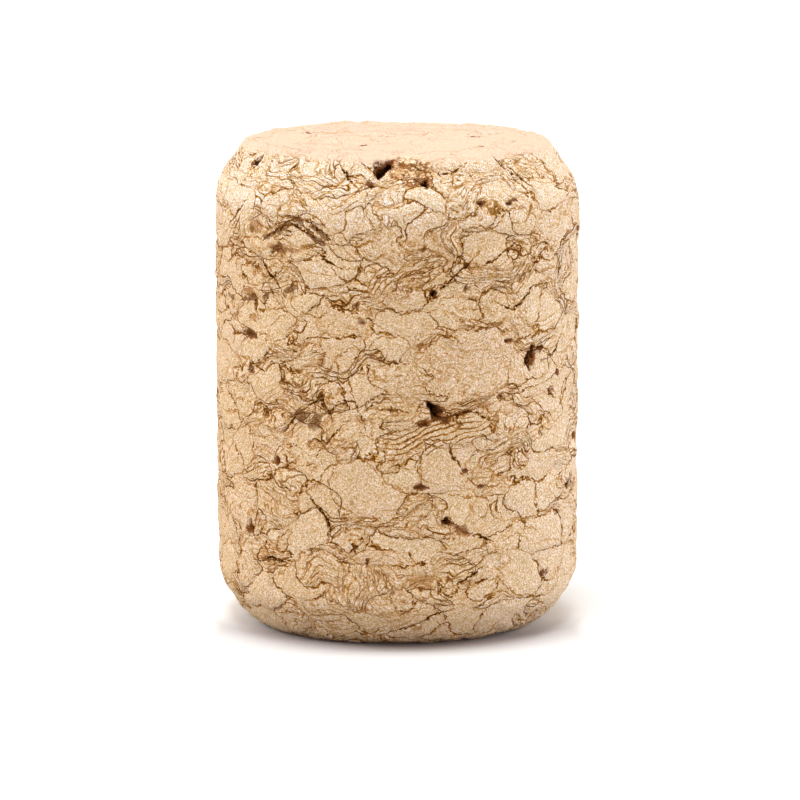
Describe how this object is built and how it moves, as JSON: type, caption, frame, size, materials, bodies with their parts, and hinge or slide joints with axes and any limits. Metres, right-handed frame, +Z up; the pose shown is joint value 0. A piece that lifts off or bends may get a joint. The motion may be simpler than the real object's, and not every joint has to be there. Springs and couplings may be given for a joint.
{
  "type": "cork stopper",
  "caption": "Cylindrical stopper of agglomerated cork with a chamfer at each end, squeezed into a bottle's neck to close it.",
  "frame": {"origin": "centre of the lower end face", "axes": "+Z up the stopper's axis to the upper end face, -Y towards the side with the broken edge"},
  "size_m": [0.024, 0.024, 0.032],
  "materials": {
    "cork": "matte agglomerated cork granules, ground smooth and left bare"
  },
  "bodies": {
    "root": {"stopper": "cork"}
  },
  "joints": []
}
